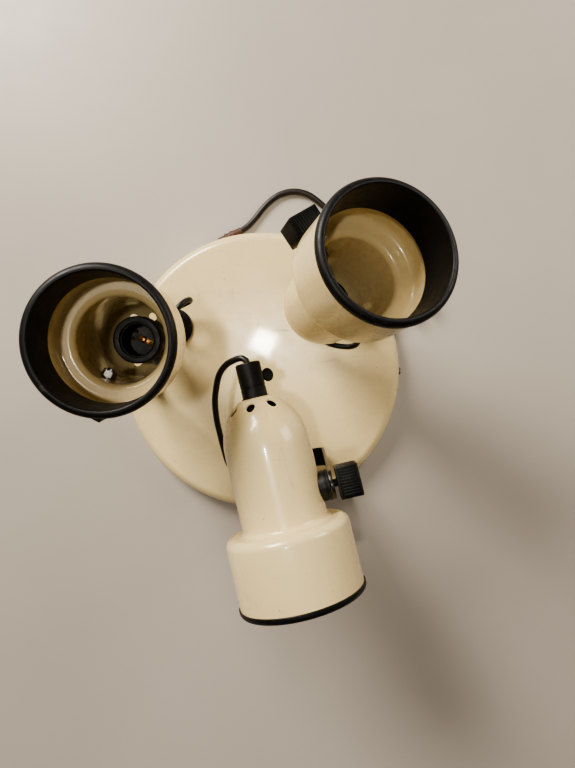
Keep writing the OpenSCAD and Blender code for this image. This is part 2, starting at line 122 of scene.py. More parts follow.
def build_patchy_finish():
    """Slow drifts of shade and gloss over a surface, as paint and moulded plastic have."""
    group, given, result = new_group(
        "patchy_finish",
        {"Colour": (0.5, 0.5, 0.5, 1), "Tint": (0.5, 0.5, 0.5, 1), "Patch Scale": 30.0,
         "Gloss Loss": 0.3, "Gloss Spread": 0.1},
        {"Colour": "NodeSocketColor", "Roughness": "NodeSocketFloat"})
    place = add_node(group, "ShaderNodeTexCoord").outputs["Object"]
    patches = add_node(group, "ShaderNodeTexNoise", {
        "Vector": place, "Scale": given.outputs["Patch Scale"], "Detail": 4.0}).outputs["Fac"]
    finer = maths(group, "MULTIPLY", given.outputs["Patch Scale"], 5.3)
    smears = add_node(group, "ShaderNodeTexNoise", {
        "Vector": place, "Scale": finer, "Detail": 5.0, "Roughness": 0.6}).outputs["Fac"]
    colour = mixed(group, ranged(group, patches, 0.3, 0.7), given.outputs["Colour"],
                   given.outputs["Tint"])
    drift = maths(group, "MULTIPLY", ranged(group, smears, 0.3, 0.7, -0.5, 0.5),
                  given.outputs["Gloss Spread"])
    group.links.new(colour, result.inputs["Colour"])
    group.links.new(maths(group, "ADD", given.outputs["Gloss Loss"], drift, clamp=True),
                    result.inputs["Roughness"])
    return group


def build_dust_and_scuffs():
    """Specks of dust and short fine scratches that lie over a finish."""
    group, given, result = new_group(
        "dust_and_scuffs",
        {"Colour": (0.5, 0.5, 0.5, 1), "Roughness": 0.3, "Speck Colour": (0.1, 0.09, 0.07, 1),
         "Speck Scale": 260.0, "Specks": 0.5, "Scratch Scale": 60.0, "Scratches": 0.5},
        {"Colour": "NodeSocketColor", "Roughness": "NodeSocketFloat", "Marks": "NodeSocketFloat"})
    place = add_node(group, "ShaderNodeTexCoord").outputs["Object"]
    cells = add_node(group, "ShaderNodeTexVoronoi", {
        "Vector": place, "Scale": given.outputs["Speck Scale"], "Randomness": 1.0})
    dots = ranged(group, cells.outputs["Distance"], 0.10, 0.17, 1.0, 0.0)
    rare = ranged(group, add_node(group, "ShaderNodeTexNoise", {
        "Vector": cells.outputs["Position"], "Scale": 190.0, "Detail": 1.0}).outputs["Fac"],
        0.60, 0.66)
    specks = maths(group, "MULTIPLY", maths(group, "MULTIPLY", dots, rare),
                   given.outputs["Specks"])
    # long thin noise, cut to the crests of its waves, leaves fine lines
    lines = []
    for turn, stretch in ((0.5, (1.0, 0.03, 1.0)), (2.1, (0.04, 1.0, 0.6))):
        laid = add_node(group, "ShaderNodeMapping", {
            "Vector": place, "Rotation": (turn, 0.4, turn * 0.7), "Scale": stretch})
        waves = add_node(group, "ShaderNodeTexNoise", {
            "Vector": laid.outputs["Vector"], "Scale": given.outputs["Scratch Scale"],
            "Detail": 2.0}).outputs["Fac"]
        crest = maths(group, "ABSOLUTE", maths(group, "SUBTRACT", waves, 0.5), 0.0)
        lines.append(ranged(group, crest, 0.0, 0.012, 1.0, 0.0))
    worn = ranged(group, add_node(group, "ShaderNodeTexNoise", {
        "Vector": place, "Scale": 34.0, "Detail": 3.0}).outputs["Fac"], 0.56, 0.66)
    scratches = maths(group, "MULTIPLY", maths(group, "MULTIPLY",
                      maths(group, "MAXIMUM", lines[0], lines[1]), worn),
                      given.outputs["Scratches"])
    marks = maths(group, "MAXIMUM", specks, scratches, clamp=True)
    group.links.new(mixed(group, marks, given.outputs["Colour"], given.outputs["Speck Colour"]),
                    result.inputs["Colour"])
    group.links.new(maths(group, "ADD", given.outputs["Roughness"],
                          maths(group, "MULTIPLY", marks, 0.3), clamp=True),
                    result.inputs["Roughness"])
    group.links.new(marks, result.inputs["Marks"])
    return group


def build_fine_grain():
    """Height of a fine surface texture: orange peel in paint, or the grain of a mould."""
    group, given, result = new_group(
        "fine_grain", {"Grain Scale": 900.0, "Marks": 0.0}, {"Height": "NodeSocketFloat"})
    place = add_node(group, "ShaderNodeTexCoord").outputs["Object"]
    grain = add_node(group, "ShaderNodeTexNoise", {
        "Vector": place, "Scale": given.outputs["Grain Scale"], "Detail": 2.0}).outputs["Fac"]
    cut = maths(group, "MULTIPLY", given.outputs["Marks"], 0.6)
    group.links.new(maths(group, "SUBTRACT", grain, cut), result.inputs["Height"])
    return group


patchy_finish = build_patchy_finish()
dust_and_scuffs = build_dust_and_scuffs()
fine_grain = build_fine_grain()


def shade_of(red, green, blue):
    """A colour given from 0 to 255, turned into a shader's linear colour."""
    return tuple((c / 255 / 12.92) if c < 10.3 else ((c / 255 + 0.055) / 1.055) ** 2.4
                 for c in (red, green, blue)) + (1.0,)


def finish(name, colour, tint, patch=30.0, rough=0.35, spread=0.1, speck=(60, 55, 48),
           speck_scale=260.0, specks=0.5, scratches=0.3, scratch_scale=60.0, grain=900.0,
           grain_depth=0.05, metallic=0.0, coat=0.0, coat_rough=0.1, specular=0.5):
    """A material from the three shared groups, with its own colours, gloss, marks and grain."""
    material = bpy.data.materials.new(name)
    material.use_nodes = True
    tree = material.node_tree
    shader = tree.nodes["Principled BSDF"]
    shader.inputs["Metallic"].default_value = metallic
    shader.inputs["Specular IOR Level"].default_value = specular
    shader.inputs["Coat Weight"].default_value = coat
    shader.inputs["Coat Roughness"].default_value = coat_rough
    ground = add_node(tree, "ShaderNodeGroup", node_tree=patchy_finish)
    marked = add_node(tree, "ShaderNodeGroup", node_tree=dust_and_scuffs)
    texture = add_node(tree, "ShaderNodeGroup", node_tree=fine_grain)
    for node, values in (
            (ground, {"Colour": shade_of(*colour), "Tint": shade_of(*tint), "Patch Scale": patch,
                      "Gloss Loss": rough, "Gloss Spread": spread}),
            (marked, {"Speck Colour": shade_of(*speck), "Speck Scale": speck_scale,
                      "Specks": specks, "Scratches": scratches, "Scratch Scale": scratch_scale}),
            (texture, {"Grain Scale": grain})):
        for socket, value in values.items():
            node.inputs[socket].default_value = value
    tree.links.new(ground.outputs["Colour"], marked.inputs["Colour"])
    tree.links.new(ground.outputs["Roughness"], marked.inputs["Roughness"])
    tree.links.new(marked.outputs["Colour"], shader.inputs["Base Color"])
    tree.links.new(marked.outputs["Roughness"], shader.inputs["Roughness"])
    tree.links.new(marked.outputs["Marks"], texture.inputs["Marks"])
    bump = add_node(tree, "ShaderNodeBump", {
        "Height": texture.outputs["Height"], "Strength": grain_depth, "Distance": 0.0004})
    tree.links.new(bump.outputs["Normal"], shader.inputs["Normal"])
    return material


def in_metres(points):
    """Turns points given in millimetres into places."""
    return [Vector(point) * mm for point in points]


def smooth_line(points, step=2.5 * mm):
    """A smooth line through all the points, with a point about every step along it."""
    points = [2 * points[0] - points[1], *points, 2 * points[-1] - points[-2]]
    line = []
    for a, b, c, d in zip(points, points[1:], points[2:], points[3:]):
        count = max(1, round((c - b).length / step))
        for n in range(count):
            t = n / count
            line.append(0.5 * (2 * b + (c - a) * t + (2 * a - 5 * b + 4 * c - d) * t ** 2
                               + (3 * b - a - 3 * c + d) * t ** 3))
    return line + [points[-2]]


def shade_smooth(piece, sharp):
    """Shades a piece smooth, apart from edges past a sharp angle in degrees."""
    bpy.context.view_layer.objects.active = piece
    piece.select_set(True)
    bpy.ops.object.shade_smooth_by_angle(angle=math.radians(sharp))
    bpy.ops.object.select_all(action="DESELECT")


def sheath(name, line, diameter):
    """A round cord along a line, as a mesh with closed ends."""
    curve = bpy.data.curves.new(name, "CURVE")
    curve.dimensions = "3D"
    curve.bevel_depth = diameter / 2
    curve.bevel_resolution = 3
    curve.use_fill_caps = True
    spline = curve.splines.new("POLY")
    spline.points.add(len(line) - 1)
    for point, place in zip(spline.points, line):
        point.co = (*place, 1)
    cord = bpy.data.objects.new(name, curve)
    bpy.context.scene.collection.objects.link(cord)
    bpy.context.view_layer.objects.active = cord
    cord.select_set(True)
    bpy.ops.object.convert(target="MESH")
    shade_smooth(cord, sharp=50)
    return cord


lead_d = 6 * mm
lead_exit = Vector((-33, 138, 5)) * mm
lead_inside = in_metres([(-54, 95, 12), (-57.5, 102.5, 12), (-58, 111.5, 11), (-56, 120, 8.5),
                         (-50.5, 127.5, 6.5), (-44, 132.4, 5), (-33, 138, 5)])
lead_run = in_metres([
    (-33, 138, 5), (-22, 143.6, 5), (-14.5, 149, 4), (-7, 157, 3), (1, 167, 3), (9, 175, 3),
    (18, 181, 3), (28, 184, 3), (38, 184, 3), (48, 181, 3), (57, 175, 3), (65, 168, 3),
    (72, 160, 3), (77.5, 151, 3), (81, 141, 3), (82.5, 131, 3), (86, 121.5, 3),
    (92, 113.5, 3), (99, 107, 3), (106, 101, 3)])
lead_tail = in_metres([
    (157.5, 167.5, 9.2), (149, 170.6, 12.2), (140, 170.6, 14.6), (131.5, 167.5, 15.8),
    (124.6, 161.7, 16.4), (120.1, 153.9, 17.2), (118.5, 145, 18), (119.8, 137, 18.7),
    (122, 132, 19.2), (124, 128.5, 19.2)])
coil_centre = Vector((137, 132, 0)) * mm
coil_outer_r = 44 * mm      # middle of the outermost turn
coil_inner_r = 27 * mm      # middle of the innermost turn
coil_pitch = 6.2 * mm       # from one turn to the next, and from layer to layer
coil_start = math.radians(225)
turn_points = 36            # points on one turn
lower_turns = 2.75          # turns on the floor
step_turns = 0.5            # the part of a turn that climbs to the upper layer
all_turns = 5.5


def coil_turns():
    """Two flat layers: wound inwards on the floor, then up a step and outwards on top."""
    line = []
    for n in range(2, round(all_turns * turn_points)):
        turns = n / turn_points
        climb = min(1, max(0, (turns - lower_turns) / step_turns))
        radius = coil_outer_r - coil_pitch * turns if turns < lower_turns else (
            coil_inner_r + coil_pitch * max(0, turns - lower_turns - step_turns))
        height = lead_d / 2 + coil_pitch * climb * climb * (3 - 2 * climb)
        angle = coil_start + 2 * math.pi * turns
        line.append(coil_centre + Vector((radius * math.cos(angle), radius * math.sin(angle),
                                          height)))
    return line


lead_pvc = finish("lead_pvc", (34, 27, 23), (27, 21, 18), patch=45, rough=0.42, spread=0.16,
                  speck=(120, 108, 95), speck_scale=420, specks=0.35, scratches=0.15,
                  grain=1500, grain_depth=0.12)
lead_line = smooth_line(lead_run + coil_turns() + lead_tail)
supply_lead = sheath("lead_sheath", lead_line, lead_d)
supply_lead.data.materials.append(lead_pvc)
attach(supply_lead, "root")
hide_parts("supply_lead", "supply_coil")

inner_lead = sheath("lead_inside_canopy", smooth_line(lead_inside), lead_d)
inner_lead.data.materials.append(lead_pvc)
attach(inner_lead, "root")

# ---- Plug ----
# A flat two-pin plug moulded onto the lead in the same PVC, with a ribbed strain relief. It
# lies on top of the coil, and its pins are plated steel.


def deselect_mesh():
    """Deselects everything in edit mode."""
    bpy.ops.mesh.select_all(action="DESELECT")


def turned(name, outline, closed=False, steps=96, sharp=35):
    """Turns an outline of (radius, height) points about the Z axis into a round piece."""
    bpy.ops.mesh.primitive_plane_add(size=mm)
    piece = bpy.context.object
    piece.name = piece.data.name = name
    bpy.ops.object.mode_set(mode="EDIT")
    bpy.ops.mesh.merge(type="CENTER")
    points = [Vector((radius, 0, height)) for radius, height in outline]
    points += [points[0]] if closed else []
    bpy.ops.transform.translate(value=points[0])
    for before, after in zip(points, points[1:]):
        bpy.ops.mesh.extrude_vertices_move(TRANSFORM_OT_translate={"value": after - before})
    bpy.ops.mesh.select_all(action="SELECT")
    bpy.ops.mesh.spin(steps=steps, angle=2 * math.pi, center=(0, 0, 0), axis=(0, 0, 1))
    bpy.ops.mesh.select_all(action="SELECT")
    bpy.ops.mesh.remove_doubles(threshold=0.005 * mm)
    bpy.ops.mesh.normals_make_consistent(inside=False)
    deselect_mesh()
    bpy.ops.object.mode_set(mode="OBJECT")
    shade_smooth(piece, sharp)
    return piece


def rounded(centre_r, centre_z, radius, start, end, count=6):
    """Points on an arc of an outline, with the angles in degrees."""
    angles = [math.radians(start + (end - start) * n / count) for n in range(count + 1)]
    return [(centre_r + radius * math.cos(a), centre_z + radius * math.sin(a)) for a in angles]


def cut_away(piece, *cutters):
    """Cuts other pieces out of this one, and removes them."""
    for cutter in cutters:
        cut = piece.modifiers.new("cut", "BOOLEAN")
        cut.operation = "DIFFERENCE"
        cut.solver = "EXACT"
        cut.object = cutter
        apply_modifiers(piece)
        bpy.data.objects.remove(cutter)


def apply_modifiers(piece):
    """Applies all of a piece's modifiers, in their order."""
    bpy.context.view_layer.objects.active = piece
    for modifier in list(piece.modifiers):
        bpy.ops.object.modifier_apply(modifier=modifier.name)


def rod(radius, low, high, place=Matrix(), vertices=48):
    """A plain rod along Z, to cut a hole with or to join to a piece."""
    bpy.ops.mesh.primitive_cylinder_add(vertices=vertices, radius=radius, depth=high - low,
                                        location=(0, 0, (low + high) / 2))
    made = bpy.context.object
    bpy.ops.object.transform_apply()
    made.data.transform(place)
    bpy.ops.object.select_all(action="DESELECT")
    return made


def block(low, high, place=Matrix()):
    """A plain block between two corners, to shape further, to cut with or to join."""
    low, high = Vector(low), Vector(high)
    bpy.ops.mesh.primitive_cube_add(size=1, location=(low + high) / 2)
    made = bpy.context.object
    made.scale = high - low
    bpy.ops.object.transform_apply()
    made.data.transform(place)
    bpy.ops.object.select_all(action="DESELECT")
    return made


def joined(name, *parts):
    """Joins parts into one piece."""
    for part in parts:
        part.select_set(True)
    bpy.context.view_layer.objects.active = parts[0]
    if len(parts) > 1:
        bpy.ops.object.join()
    piece = bpy.context.view_layer.objects.active
    piece.name = piece.data.name = name
    bpy.ops.object.select_all(action="DESELECT")
    return piece


def round_edges(piece, width, segments=3, angle=40, sharp=35):
    """Rounds a piece's sharp edges and shades it smooth."""
    bevel = piece.modifiers.new("rounded", "BEVEL")
    bevel.width = width
    bevel.segments = segments
    bevel.limit_method = "ANGLE"
    bevel.angle_limit = math.radians(angle)
    apply_modifiers(piece)
    shade_smooth(piece, sharp)


def dress(material, *names):
    """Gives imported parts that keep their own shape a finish."""
    for name in names:
        part = frame["nodes"][name]
        part.data.materials.clear()
        part.data.materials.append(material)


along_x = Matrix.Rotation(math.radians(90), 4, "Y")
plug_place = Matrix.Translation(Vector((141, 99.1, 19.2)) * mm) @ Matrix.Rotation(
    math.radians(-60), 4, "Z")
pin_half = 17 * mm          # half the plug's width at its pins
lead_half = 11 * mm         # and at its lead
plug_half_t = 6.5 * mm
plug_body = block((-18 * mm, -pin_half, -plug_half_t), (20 * mm, pin_half, plug_half_t))
for vertex in plug_body.data.vertices:
    if vertex.co.x < 0:
        vertex.co.y *= lead_half / pin_half
round_edges(plug_body, 3.2 * mm, segments=5, angle=30)
relief_ribs = 6
rib_pitch = 3.4 * mm
relief_end = relief_ribs * rib_pitch
relief_outline = [(0, 0)]
for rib in range(relief_ribs):
    reach = rib * rib_pitch
    thick = (4.1 + 0.32 * rib) * mm
    relief_outline += [(thick, reach), (thick, reach + 1.9 * mm),
                       (thick - 0.9 * mm, reach + 2.2 * mm), (thick - 0.9 * mm, reach + 3.1 * mm)]
relief_outline += [(5.8 * mm, relief_end), (5.8 * mm, relief_end + 0.6 * mm),
                   (0, relief_end + 0.6 * mm)]
relief = turned("relief", relief_outline, steps=40)
relief.data.transform(Matrix.Translation((-38 * mm, 0, 0)) @ along_x)
plug = joined("plug_moulding", plug_body, relief)
plug.data.transform(plug_place)
plug.data.materials.append(lead_pvc)
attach(plug, "root")
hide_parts("supply_plug")

zinc_steel = finish("zinc_steel", (176, 174, 168), (150, 150, 148), patch=90, rough=0.38,
                    spread=0.22, speck=(92, 84, 72), specks=0.6, scratches=0.5, grain=1400,
                    grain_depth=0.15, metallic=1.0)
dress(zinc_steel, "plug_pins")

# ---- Head flexes ----
# Three round black flexes. Each hangs out of its head's cord grip in a loop, and goes down
# through the hollow stem that its arm turns on.

flex_d = 5.4 * mm
# points are out from the canopy, along the strap and up from the ceiling
flex_routes = {
    1: [(6.7, 18, 53), (7, 17.5, 48), (7.7, 15, 43.2), (8.6, 11.2, 40.2), (9.4, 6, 39.3),
        (9.8, 0, 39.2), (8.8, -7, 39.5), (6, -14, 40), (1.5, -21, 41.5), (-3.5, -27, 44.5),
        (-7, -31, 49.5), (-7, -32, 56), (-5, -28, 62), (-3, -20, 65.5), (-1, -11, 64),
        (0, -4, 58), (0, -1, 51), (0, 0, 44), (0, 0, 36), (0, 0, 26)],
    2: [(-106.4, 18, 149.9), (-109.6, 17.5, 149.3), (-112, 15, 148), (-112.6, 11.4, 146.3),
        (-112, 6.4, 143.6), (-110.1, -0.1, 139), (-104.2, -8, 132), (-94.2, -14.3, 124.5),
        (-81.8, -19.8, 116.5), (-67.6, -23.2, 108.5), (-53.4, -25, 100.5),
        (-37.7, -26.2, 92.5), (-22, -26.5, 84.5), (-10.5, -23, 75), (-4, -16, 66.5),
        (-1, -8, 59.5), (0, -2.5, 52.5), (0, 0, 45), (0, 0, 37), (0, 0, 26)],
    3: [(-38.6, 18, 60.4), (-39.9, 17.3, 55.5), (-40, 13.8, 50), (-38.6, 9, 46), (-36, 3, 44),
        (-31, -6, 43), (-25, -15, 43), (-18, -22, 44), (-11, -27, 46), (-5, -28, 51), (-1, -24, 57),
        (0, -16, 60), (0, -8, 58), (0, -2, 51), (0, 0, 44), (0, 0, 36), (0, 0, 26)]}


def axes_at(origin, x, y, z):
    """The matrix that puts a piece at a place, with its own axes along x, y and z."""
    place = Matrix((x, y, z)).transposed().to_4x4()
    place.translation = origin
    return place


joints = {joint["name"]: joint for joint in frame["joints"]}
mounts = {mount["name"]: mount for mount in frame["record"]["mounts"]}
arm_place, head_place = {}, {}
hinge_side = 42.7 * mm      # from a head's own axis to its tilt joint, along the tilt axis
for i in (1, 2, 3):
    pivot = Vector(joints[f"arm_swivel_{i}"]["pos_m"])
    hinge = joints[f"head_tilt_{i}"]
    tilt_axis = Vector(hinge["axis"]).normalized()
    head_axis = Vector(mounts[f"lamp_socket_{i}"]["axis"]).normalized()
    up = Vector((0, 0, 1))
    arm_place[i] = axes_at(Vector((pivot.x, pivot.y, 0)), tilt_axis.cross(up), tilt_axis, up)
    head_place[i] = axes_at(Vector(hinge["pos_m"]) - hinge_side * tilt_axis,
                            tilt_axis.cross(head_axis), tilt_axis, head_axis)

black_flex = finish("black_flex", (17, 16, 16), (12, 12, 12), patch=60, rough=0.40, spread=0.14,
                    speck=(120, 114, 104), speck_scale=480, specks=0.4, scratches=0.1,
                    grain=1700, grain_depth=0.1)
for i, route in flex_routes.items():
    flex_line = smooth_line([arm_place[i] @ point for point in in_metres(route)])
    flex = sheath(f"flex_{i}", flex_line, flex_d)
    flex.data.materials.append(black_flex)
    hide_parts(f"head_flex_{i}")
    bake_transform(flex)

# ---- Canopy ----
# A dish pressed from sheet steel, with a rounded edge and a hem at the back, sprayed in
# glossy cream enamel. The stems, the side screws and the lead's sleeve go through it.

cream = (236, 216, 165)
cream_tint = (229, 206, 154)
cream_enamel = finish("cream_enamel", cream, cream_tint, patch=14, rough=0.27, spread=0.08,
                      speck=(82, 72, 56), speck_scale=230, specks=0.5, scratches=0.25,
                      scratch_scale=48, grain=650, grain_depth=0.035, coat=0.35,
                      coat_rough=0.06)

canopy_low, canopy_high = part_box("base_dish")
canopy_r = (canopy_high.x - canopy_low.x) / 2
face_z = canopy_high.z
edge_r = 9 * mm
sheet = 1.2 * mm
canopy = turned("canopy_shell", [
    (0, face_z), (canopy_r * 0.5, face_z),
    *rounded(canopy_r - edge_r, face_z - edge_r, edge_r, 90, 0, 12),
    (canopy_r, 1.0 * mm), (canopy_r - 0.4 * mm, 0.3 * mm), (canopy_r - 1.2 * mm, 0),
    (canopy_r - 2.2 * mm, 0.3 * mm), (canopy_r - 2.6 * mm, 1.2 * mm),
    (canopy_r - 2.6 * mm, 3 * mm), (canopy_r - sheet, 3.6 * mm),
    *rounded(canopy_r - edge_r, face_z - edge_r, edge_r - sheet, 0, 90, 10),
    (canopy_r * 0.5, face_z - sheet), (0, face_z - sheet)], steps=180)
stem_r = 5 * mm
bore_r = stem_r + 0.05 * mm     # of whatever the stem or the grip's nipple goes through
holes = [rod(bore_r, face_z - 3 * mm, face_z + 3 * mm,
             Matrix.Translation(arm_place[i].translation)) for i in (1, 2, 3)]
holes += [rod(2.1 * mm, side * canopy_r - 5 * mm, side * canopy_r + 5 * mm,
              Matrix.Translation((0, 0, 10 * mm)) @ along_x) for side in (-1, 1)]
sleeve_place = Matrix.Translation(lead_exit) @ Matrix.Rotation(math.radians(27), 4, "Z")
notch = block((-20 * mm, -5.2 * mm, -8 * mm), (12 * mm, 5.2 * mm, 5.4 * mm), sleeve_place)
slant = block((-10 * mm, -4.6 * mm, -mm), (10 * mm, 4.6 * mm, 10.9 * mm), Matrix.Translation(
    (-48.5 * mm, 128.5 * mm, 0)) @ Matrix.Rotation(math.radians(41), 4, "Z"))
cut_away(canopy, joined("cutters", *holes), notch, slant)
shade_smooth(canopy, sharp=35)
canopy.data.materials.append(cream_enamel)
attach(canopy, "root")
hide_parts("base_dish")

# ---- Lead sleeve ----
# A brown rubber sleeve that keeps the lead off the sheet's edge. Its collars hold it in the
# canopy's notch, and its ribbed tail tapers along the lead.

brown_rubber = finish("brown_rubber", (92, 60, 44), (74, 48, 36), patch=120, rough=0.55,
                      spread=0.2, speck=(150, 130, 110), specks=0.4, scratches=0.2,
                      grain=1800, grain_depth=0.25)
sleeve = turned("sleeve_moulding", [
    (3.15 * mm, -12 * mm), (3.9 * mm, -12 * mm), (4.1 * mm, -10 * mm), (4.1 * mm, -4.5 * mm),
    (4.9 * mm, -4 * mm), (4.9 * mm, -2 * mm), (4.3 * mm, -1.6 * mm), (4.3 * mm, 1.6 * mm),
    (4.9 * mm, 2 * mm), (4.9 * mm, 4 * mm), *[
        (radius * mm, height * mm) for rib in range(4) for radius, height in (
            (4.5 - 0.22 * rib, 4.2 + 2.4 * rib), (4.5 - 0.22 * rib, 5.6 + 2.4 * rib),
            (3.8 - 0.14 * rib, 5.9 + 2.4 * rib), (3.8 - 0.14 * rib, 6.4 + 2.4 * rib))],
    (3.3 * mm, 14 * mm), (3.15 * mm, 14 * mm)], closed=True, steps=40)
sleeve.data.transform(sleeve_place @ along_x)
sleeve.data.materials.append(brown_rubber)
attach(sleeve, "root")
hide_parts("lead_sleeve")

# ---- Fittings behind and on the canopy ----
# The mounting bar, its screws, the threaded stems with their nuts and the earth tag are
# plated steel and brass. The terminal block and the cord clamp are white moulded plastic.

black_enamel = finish("black_enamel", (16, 15, 15), (12, 11, 11), patch=35, rough=0.32,
                      spread=0.16, speck=(118, 110, 98), speck_scale=300, specks=0.45,
                      scratches=0.35, grain=900, grain_depth=0.07)
black_plastic = finish("black_plastic", (15, 14, 14), (11, 10, 10), patch=40, rough=0.46,
                       spread=0.16, speck=(110, 102, 90), speck_scale=420, specks=0.4,
                       scratches=0.25, grain=1500, grain_depth=0.16, specular=0.35)
white_plastic = finish("white_plastic", (228, 224, 212), (216, 210, 194), patch=60, rough=0.4,
                       spread=0.15, grain=1200, grain_depth=0.08)
brass = finish("brass", (150, 112, 66), (112, 80, 46), patch=150, rough=0.34, spread=0.25,
               speck=(84, 62, 34), specks=0.6, scratches=0.4, grain=1600, grain_depth=0.12,
               metallic=1.0)
dress(zinc_steel, "mounting_bar", "bar_side_screws", "pan_stems", "stem_back_nuts")
dress(zinc_steel, *[f"{part}_{i}" for part in ("holder_nipple", "hinge_bolt")
                    for i in (1, 2, 3)])
dress(black_enamel, "stem_top_nuts")
dress(black_plastic, "stem_bushes")
dress(white_plastic, "terminal_block", "cord_clamp")
dress(brass, "terminal_screws", "earth_tag")
dress(brown_rubber, "inner_wiring")

# ---- Arms ----
# Each arm is a bent steel strap on a black disc. Its foot turns on the hollow stem, and its
# upright carries the head's hinge beside the shade.


def hand_over(model, name, places, body, material, node):
    """Puts a copy with its own mesh at each numbered place, and removes the model."""
    for i, place in places.items():
        piece = bpy.data.objects.new(f"{name}_{i}", model.data.copy())
        piece.data.name = f"{name}_{i}"
        piece.data.transform(place)
        bpy.context.scene.collection.objects.link(piece)
        piece.data.materials.clear()
        piece.data.materials.append(material)
        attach(piece, f"{body}_{i}")
        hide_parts(f"{node}_{i}")
    bpy.data.objects.remove(model)


strap_w = 18 * mm
eye_r = 12.5 * mm                            # radius of its round ends
strap_t = 2.5 * mm
strap_z = face_z + 5 * mm + strap_t / 2     # middle of the foot's thickness
upright_y = 60.75 * mm                      # middle of the upright's thickness
hinge_z = 160 * mm
bend_r = 12.75 * mm


def strap_point(reach):
    """Where the strap's centre line is, after that much of its length."""
    foot = eye_r + upright_y - bend_r
    bend = bend_r * math.pi / 2
    if reach < foot:
        return Vector((0, reach - eye_r, strap_z))
    if reach < foot + bend:
        angle = (reach - foot) / bend_r
        return Vector((0, upright_y - bend_r + bend_r * math.sin(angle),
                       strap_z + bend_r * (1 - math.cos(angle))))
    return Vector((0, upright_y, strap_z + bend_r + reach - foot - bend))


strap_length = (eye_r + upright_y - bend_r + bend_r * math.pi / 2
                + hinge_z + eye_r - strap_z - bend_r)
tip_half = 0.02 * mm                        # half the width left at the very ends
bpy.ops.mesh.primitive_grid_add(x_subdivisions=12, y_subdivisions=160, size=2)
strap = bpy.context.object
for vertex in strap.data.vertices:
    across, along = vertex.co.x, (vertex.co.y + 1) / 2
    # rows crowd together at the round ends
    along = 0.5 - 0.5 * math.cos(math.pi * along) if not 0.12 < along < 0.88 else along
    reach = along * strap_length
    from_eye = abs(min(reach, strap_length - reach) - eye_r)
    half = math.sqrt(max(0, eye_r ** 2 - from_eye ** 2))
    if min(reach, strap_length - reach) > eye_r:
        half = max(half, strap_w / 2)
    vertex.co = strap_point(reach) + Vector((across * max(half, tip_half), 0, 0))
thicken = strap.modifiers.new("thickness", "SOLIDIFY")
thicken.thickness = strap_t
thicken.offset = 0
apply_modifiers(strap)
strap.select_set(True)
bpy.ops.object.mode_set(mode="EDIT")
bpy.ops.mesh.select_all(action="SELECT")
bpy.ops.mesh.remove_doubles(threshold=0.03 * mm)
bpy.ops.mesh.normals_make_consistent(inside=False)
deselect_mesh()
bpy.ops.object.mode_set(mode="OBJECT")
bpy.ops.object.select_all(action="DESELECT")
bolt_r = 3 * mm
bolt_hole_r = bolt_r + 0.05 * mm
to_y = Matrix.Rotation(math.radians(-90), 4, "X")
cut_away(strap,
         rod(bore_r, strap_z - 5 * mm, strap_z + 5 * mm),
         rod(bolt_hole_r, upright_y - 5 * mm, upright_y + 5 * mm,
             Matrix.Translation((0, 0, hinge_z)) @ to_y))
round_edges(strap, 0.45 * mm, segments=2, angle=50)

disc_low = face_z + 0.3 * mm
disc = turned("disc", [
    (bore_r, disc_low), (18.6 * mm, disc_low), (19 * mm, disc_low + 0.3 * mm),
    *rounded(18 * mm, disc_low + 1.3 * mm, 1 * mm, 0, 70, 4),
    (12.6 * mm, disc_low + 2.8 * mm), (11.6 * mm, disc_low + 3.3 * mm),
    (11 * mm, disc_low + 4 * mm), (10.6 * mm, strap_z - strap_t / 2),
    (bore_r, strap_z - strap_t / 2)], closed=True)
hand_over(strap, "strap", arm_place, "arm", black_enamel, "arm_strap")
hand_over(disc, "disc", arm_place, "arm", black_enamel, "foot_disc")

# ---- Shades ----
# Spun from sheet metal: a wide front tube, a rounded shoulder, a narrower body and a domed
# rear with eight air holes. Enamelled inside and out like the canopy.

mouth_z = 82.5 * mm         # heights are along the head's own axis, from the tilt hinge
shoulder_z = mouth_z - 59.5 * mm
rear_z = mouth_z - 161.6 * mm
front_r = 49.4 * mm
body_r = 34 * mm
dome_r = 42.4 * mm
dome_z = rear_z + 39 * mm


def shade_line(inset):
    """The shade's outline from mouth to rear, drawn in from its outer face."""
    dome = [math.radians(67 * n / 16) for n in range(17)]
    return [
        (front_r - inset, mouth_z - 4.6 * mm), (front_r - inset, mouth_z - 20 * mm),
        (front_r - inset, mouth_z - 38 * mm),
        *rounded(front_r - 7 * mm, shoulder_z + 7 * mm, 7 * mm - inset, 0, -90, 10),
        *rounded(body_r + 4 * mm, shoulder_z - 4 * mm, 4 * mm + inset, 90, 180, 8),
        (body_r - inset, shoulder_z - 25 * mm), (body_r - inset, shoulder_z - 45 * mm),
        *[((body_r - inset) * math.cos(a), dome_z - (dome_r - inset) * math.sin(a))
          for a in dome]]


shade = turned("shade", [
    *shade_line(0), (11 * mm, rear_z), (bore_r, rear_z), (bore_r, rear_z + sheet),
    (11 * mm, rear_z + sheet), *reversed(shade_line(sheet))], closed=True, steps=128)
vent_count = 8
vents = [rod(3.5 * mm, rear_z - 3 * mm, rear_z + 14 * mm, Matrix.Rotation(
    math.radians(9.5 + 360 / vent_count * n), 4, "Z") @ Matrix.Translation((21.4 * mm, 0, 0)),
    vertices=32) for n in range(vent_count)]
bolt_hole = rod(bolt_r + 0.1 * mm, body_r - 5 * mm, body_r + 5 * mm, to_y)
cut_away(shade, joined("vents", *vents), bolt_hole)
round_edges(shade, 0.25 * mm, segments=2, angle=55)
hand_over(shade, "shade_shell", head_place, "head", cream_enamel, "shade")

# ---- Mouth rings ----
# A black moulded ring pushed over each shade's mouth, with a cone that hides the lamp from
# the side. Its lip is rounded, and its skirt hangs over the shade's edge.

